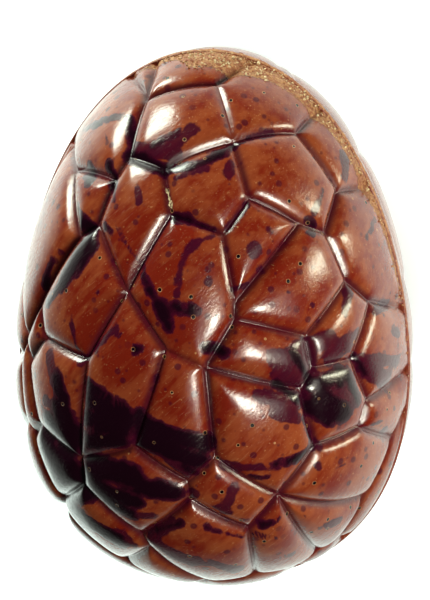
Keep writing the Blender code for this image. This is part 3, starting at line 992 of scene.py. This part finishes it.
def seam_chocolate(look):
    """The trimmed seam: torn, pale and crumbly at the tip, smooth milk chocolate elsewhere."""
    material, tree, shader = new_material("torn_seam")
    place = add_node(tree, "ShaderNodeTexCoord", None, None, 3)
    torn = stored(tree, "rough") * stored(tree, "top").rise(0.0, 0.7)
    lumps = noise(tree, place, 0.8 * MM, 4.0, 0.65)
    patch = noise(tree, place, 3.5 * MM, 2.0, 0.5)
    milk = mix_colours(tree, lumps.rise(0.3, 0.7), full(look.milk_deep), full(look.milk))
    pale = mix_colours(tree, lumps.rise(0.35, 0.65), full(look.torn), full(look.crumb))
    share = (torn * 1.5 * (patch.rise(0.25, 0.6) * 0.7 + 0.3)).clamp()
    colour = mix_colours(tree, share, milk, pale)
    tree.links.new(colour.socket, shader.inputs["Base Color"])
    rough = 0.28 + torn * 0.45
    tree.links.new(rough.socket, shader.inputs["Roughness"])
    height = lumps * 0.35 + noise(tree, place, 0.3 * MM, 3.0, 0.6) * 0.15
    bump = add_node(tree, "ShaderNodeBump", None, {"Height": height, "Strength": 0.8, "Distance": 0.5 * MM})
    tree.links.new(bump.socket, shader.inputs["Normal"])
    return material


def crumb_chocolate(look):
    """Dry crumbs, from milk chocolate to cream."""
    material, tree, shader = new_material("dry_crumbs")
    place = add_node(tree, "ShaderNodeTexCoord", None, None, 3)
    tint = stored(tree, "tint")
    colour = mix_colours(tree, tint.rise(0.05, 0.50), full(look.torn), full(look.crumb))
    colour = mix_colours(tree, tint.rise(0.45, 0.85), colour, full(look.cream))
    spots = noise(tree, place, 0.25 * MM, 3.0, 0.6)
    colour = mix_colours(tree, spots.rise(0.4, 0.7) * 0.4, colour, full(look.torn))
    tree.links.new(colour.socket, shader.inputs["Base Color"])
    rough = 0.55 + spots * 0.3
    tree.links.new(rough.socket, shader.inputs["Roughness"])
    bump = add_node(tree, "ShaderNodeBump", None, {"Height": spots, "Strength": 0.6, "Distance": 0.2 * MM})
    tree.links.new(bump.socket, shader.inputs["Normal"])
    return material


# ----------------------------------------------------------------------------- the studio


def view_axes(studio):
    """The frame's right, up and toward directions, for a camera that leans to the tip and swings right."""
    lean, swing = studio.elevation, studio.swing
    right = Vector((math.cos(swing), 0.0, -math.sin(swing)))
    up = Vector((-math.sin(swing) * math.sin(lean), math.cos(lean), -math.cos(swing) * math.sin(lean)))
    return right, up, right.cross(up)


def softbox(name, aim, way, power, size, colour, distance=0.45):
    """A rectangular lamp placed by its direction in the camera's axes."""
    axes = view_axes(bpy.context.scene.studio_set)
    way = (axes[0] * way[0] + axes[1] * way[1] + axes[2] * way[2]).normalized()
    data = bpy.data.lights.new(name, "AREA")
    data.shape = "RECTANGLE"
    data.size, data.size_y = size
    data.energy = power
    data.color = colour
    data.spread = math.radians(100.0)
    lamp = bpy.data.objects.new(name, data)
    lamp.location = aim + way * distance
    lamp.rotation_mode = "QUATERNION"
    lamp.rotation_quaternion = way.to_track_quat("Z", "Y")
    bpy.context.scene.collection.objects.link(lamp)


# ----------------------------------------------------------------------------- operators


def dress(piece):
    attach(piece, "root")


class EGG_OT_shell(bpy.types.Operator):
    """Builds the egg's crackled shell"""

    bl_idname = "egg.shell"
    bl_label = "Shell"

    def execute(self, context):
        scene = context.scene
        shell = build_shell(scene.egg_form, chocolate(scene.egg_look))
        dress(shell)
        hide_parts("egg")
        return {"FINISHED"}


class EGG_OT_seam(bpy.types.Operator):
    """Builds the bead of chocolate on the seam and the crumbs on it"""

    bl_idname = "egg.seam"
    bl_label = "Seam"

    def execute(self, context):
        scene = context.scene
        dress(build_bead(scene.egg_form, seam_chocolate(scene.egg_look)))
        dress(build_crumbs(scene.egg_form, crumb_chocolate(scene.egg_look)))
        return {"FINISHED"}


# The lamps: direction in the camera's axes, power in watts, size in metres and colour.
LAMPS = {
    "key": ((-0.60, 0.78, 0.15), 0.85, (0.20, 0.18), (0.86, 1.0, 0.93)),
    "side": ((0.92, 0.19, 0.34), 0.28, (0.055, 0.20), (0.96, 1.0, 0.80)),
    "top": ((0.32, -0.28, 0.89), 0.36, (0.10, 0.11), (0.95, 1.0, 0.95)),
    "veil": ((0.37, -0.24, 0.90), 0.15, (0.18, 0.38), (0.95, 1.0, 0.98)),
}


class EGG_OT_stage(bpy.types.Operator):
    """Sets up the floor, the lights and the camera"""

    bl_idname = "egg.stage"
    bl_label = "Stage"

    def execute(self, context):
        studio = context.scene.studio_set
        bpy.ops.mesh.primitive_plane_add(size=4.0)
        floor = context.object
        floor.name = "floor"
        material, tree, shader = new_material("pale_floor")
        shader.inputs["Base Color"].default_value = (0.88, 0.88, 0.88, 1.0)
        shader.inputs["Roughness"].default_value = 0.6
        place = add_node(tree, "ShaderNodeTexCoord", None, None, 3)
        away = add_node(tree, "ShaderNodeVectorMath", {"operation": "LENGTH"}, {0: place}, 1)
        leftward = add_node(tree, "ShaderNodeVectorMath", {"operation": "DOT_PRODUCT"},
                            {0: place, 1: (-0.95, -0.30, 0.0)}, 1)
        # The floor glows as a painted pool of light: a ring round the egg, unlit right under it, brightest toward the
        # egg's left and fading far off.
        ring = away.rise(0.030, 0.050) * away.rise(0.24, 0.13)
        level = ring * ((leftward / away).rise(-0.3, 0.8) * 0.37 + 0.22) + 0.09
        glow = mix_colours(tree, level, (0.0, 0.0, 0.0, 1.0), (0.84, 1.0, 0.93, 1.0))
        tree.links.new(glow.socket, shader.inputs["Emission Color"])
        shader.inputs["Emission Strength"].default_value = studio.floor_glow
        floor.data.materials.append(material)
        world = bpy.data.worlds.new("studio_air")
        world.use_nodes = True
        air = world.node_tree.nodes["Background"]
        air.inputs["Color"].default_value = (1.0, 1.0, 1.0, 1.0)
        air.inputs["Strength"].default_value = studio.air
        context.scene.world = world
        context.scene.view_settings.view_transform = "Standard"
        right, up, toward = view_axes(studio)
        middle = Vector((0.0, 0.0, SEAM_HEIGHT))
        for name, lamp in LAMPS.items():
            softbox(name, middle, *lamp)
        data = bpy.data.cameras.new("camera")
        data.lens = data.sensor_width * studio.distance / studio.frame_height
        data.clip_start, data.clip_end = 0.05, 10.0
        camera = bpy.data.objects.new("camera", data)
        aim = middle + right * (0.215 * MM) + up * (3.4 * MM)
        matrix = Matrix((right, up, toward)).transposed().to_4x4()
        matrix.translation = aim + toward * studio.distance
        camera.matrix_world = matrix
        context.scene.collection.objects.link(camera)
        context.scene.camera = camera
        return {"FINISHED"}


class EGG_PT_panel(bpy.types.Panel):
    """Lists the egg's pieces and settings"""

    bl_idname = "EGG_PT_panel"
    bl_label = "Chocolate Egg"
    bl_space_type = "VIEW_3D"
    bl_region_type = "UI"
    bl_category = "Egg"

    def draw(self, context):
        layout = self.layout
        for operator in OPERATORS:
            layout.operator(operator.bl_idname)
        for group in (context.scene.egg_form, context.scene.egg_look, context.scene.studio_set):
            for name in group.__annotations__:
                layout.prop(group, name)


SETTINGS = {"egg_form": EggForm, "egg_look": EggLook, "studio_set": StudioSet}
OPERATORS = (EGG_OT_shell, EGG_OT_seam, EGG_OT_stage)


def register():
    for kind in (*SETTINGS.values(), *OPERATORS, EGG_PT_panel):
        bpy.utils.register_class(kind)
    for name, kind in SETTINGS.items():
        setattr(bpy.types.Scene, name, PointerProperty(type=kind))


def unregister():
    for name in SETTINGS:
        delattr(bpy.types.Scene, name)
    for kind in (EGG_PT_panel, *reversed(OPERATORS), *reversed(list(SETTINGS.values()))):
        bpy.utils.unregister_class(kind)


def main():
    register()
    bpy.ops.egg.shell()
    bpy.ops.egg.seam()
    bpy.ops.egg.stage()


if __name__ == "__main__":
    main()
